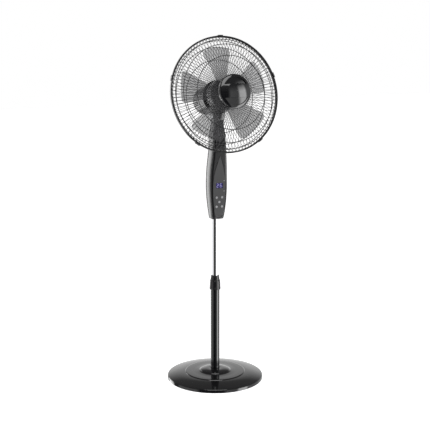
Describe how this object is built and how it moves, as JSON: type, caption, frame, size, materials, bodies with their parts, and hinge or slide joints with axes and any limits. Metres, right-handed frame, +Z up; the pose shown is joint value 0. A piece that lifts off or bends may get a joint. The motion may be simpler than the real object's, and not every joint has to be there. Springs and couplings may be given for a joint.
{
  "type": "pedestal fan",
  "caption": "Black pedestal fan: round weighted base, telescopic pole, control housing with display and buttons, tilting and swinging caged blade head with dome cap.",
  "frame": {"origin": "on the floor under the pole axis, level with the undersides of the feet", "axes": "+Z up along the pole, -Y the front (blade head and control panel), +X to the viewer's right seen from the front"},
  "size_m": [0.44, 0.3861, 1.3567],
  "materials": {
    "black_gloss": "high gloss black",
    "black_satin": "satin black moulded plastic",
    "tube_black": "gloss black enamel",
    "lock_plastic": "satin black, ribbed",
    "tube_chrome": "polished chrome plate",
    "guard_wire": "black powder coat",
    "smoke_blade": "smoke tinted translucent",
    "window": "tinted clear window",
    "digits": "lit lilac",
    "lights": "clear lens",
    "button_grey": "satin light grey",
    "electronics": "green board and dark parts",
    "rubber": "matte",
    "inner_plastic": "matte",
    "plain_steel": "zinc plated",
    "iron": "rough casting",
    "casting": "die cast",
    "cover_casting": "black painted casting",
    "copper": "lacquered winding wire"
  },
  "bodies": {
    "stand": {"base_cover": "black_gloss", "base_plate": "plain_steel", "base_weight": "iron", "pole_socket": "casting", "base_screws": "plain_steel", "base_feet": "rubber", "pole_bolt": "plain_steel", "outer_tube": "tube_black", "tube_collet": "lock_plastic"},
    "lock_ring": {"height_lock_ring": "lock_plastic"},
    "mast": {"inner_tube": "tube_chrome", "tube_end_bush": "inner_plastic", "tube_clamp": "casting", "clamp_screw": "plain_steel", "housing_front": "black_satin", "housing_rear": "black_satin", "housing_screws": "plain_steel", "front_panel": "black_gloss", "display_window": "window", "indicator_lights": "lights", "display_module": "electronics", "display_digits": "digits", "control_board": "electronics", "power_board": "electronics", "run_capacitor": "electronics", "neck_front": "black_satin", "neck_rear": "black_satin", "tilt_post": "casting"},
    "tilt_head": {"tilt_bracket": "black_satin", "tilt_bolt": "plain_steel", "swivel_pin": "plain_steel"},
    "motor_head": {"motor_front_cover": "cover_casting", "motor_rear_shell": "black_satin", "motor_screws": "plain_steel", "motor_stator": "plain_steel", "motor_windings": "copper", "motor_bearings": "plain_steel", "rear_end_bell": "casting", "swing_motor": "plain_steel", "rear_guard_wires": "guard_wire", "rear_guard_rings": "guard_wire", "rear_hub_plate": "guard_wire", "guard_nut": "lock_plastic", "front_guard_wires": "guard_wire", "front_guard_rings": "guard_wire", "front_hub_plate": "guard_wire", "rim_band": "black_satin", "rim_clips": "black_satin", "dome_cap": "black_gloss", "cap_screws": "plain_steel"},
    "rotor": {"motor_rotor": "plain_steel", "motor_shaft": "plain_steel", "fan_blade": "smoke_blade", "blade_nut": "lock_plastic"},
    "button_body_1": {"button_1": "button_grey"},
    "button_body_2": {"button_2": "button_grey"},
    "button_body_3": {"button_3": "button_grey"},
    "button_body_4": {"button_4": "button_grey"},
    "button_body_5": {"button_5": "button_grey"}
  },
  "joints": [
    {"name": "height", "type": "slide", "parent": "stand", "child": "mast", "axis": [0, 0, 1], "range_m": [-0.22, 0]},
    {"name": "height_lock", "type": "hinge", "parent": "stand", "child": "lock_ring", "pos_m": [0, 0, 0.385], "axis": [0, 0, 1], "range_deg": [0, 90]},
    {"name": "tilt", "type": "hinge", "parent": "mast", "child": "tilt_head", "pos_m": [0, -0.012, 1.05], "axis": [1, 0, 0], "range_deg": [-8, 8]},
    {"name": "swing", "type": "hinge", "parent": "tilt_head", "child": "motor_head", "pos_m": [0, -0.012, 1.05], "axis": [0, 0.2112, 0.9775], "range_deg": [-40, 40]},
    {"name": "blade_spin", "type": "hinge", "parent": "motor_head", "child": "rotor", "pos_m": [0, 0, 1.1185], "axis": [0, -0.9775, 0.2112], "continuous": true},
    {"name": "button_press_1", "type": "slide", "parent": "mast", "child": "button_body_1", "axis": [0, 1, 0], "range_m": [0, 0.0008], "stiffness_N_per_m": 1000, "springref_m": -0.0003},
    {"name": "button_press_2", "type": "slide", "parent": "mast", "child": "button_body_2", "axis": [0, 1, 0], "range_m": [0, 0.0008], "stiffness_N_per_m": 1000, "springref_m": -0.0003},
    {"name": "button_press_3", "type": "slide", "parent": "mast", "child": "button_body_3", "axis": [0, 1, 0], "range_m": [0, 0.0008], "stiffness_N_per_m": 1000, "springref_m": -0.0003},
    {"name": "button_press_4", "type": "slide", "parent": "mast", "child": "button_body_4", "axis": [0, 1, 0], "range_m": [0, 0.0008], "stiffness_N_per_m": 1000, "springref_m": -0.0003},
    {"name": "button_press_5", "type": "slide", "parent": "mast", "child": "button_body_5", "axis": [0, 1, 0], "range_m": [0, 0.0008], "stiffness_N_per_m": 1000, "springref_m": -0.0003}
  ]
}
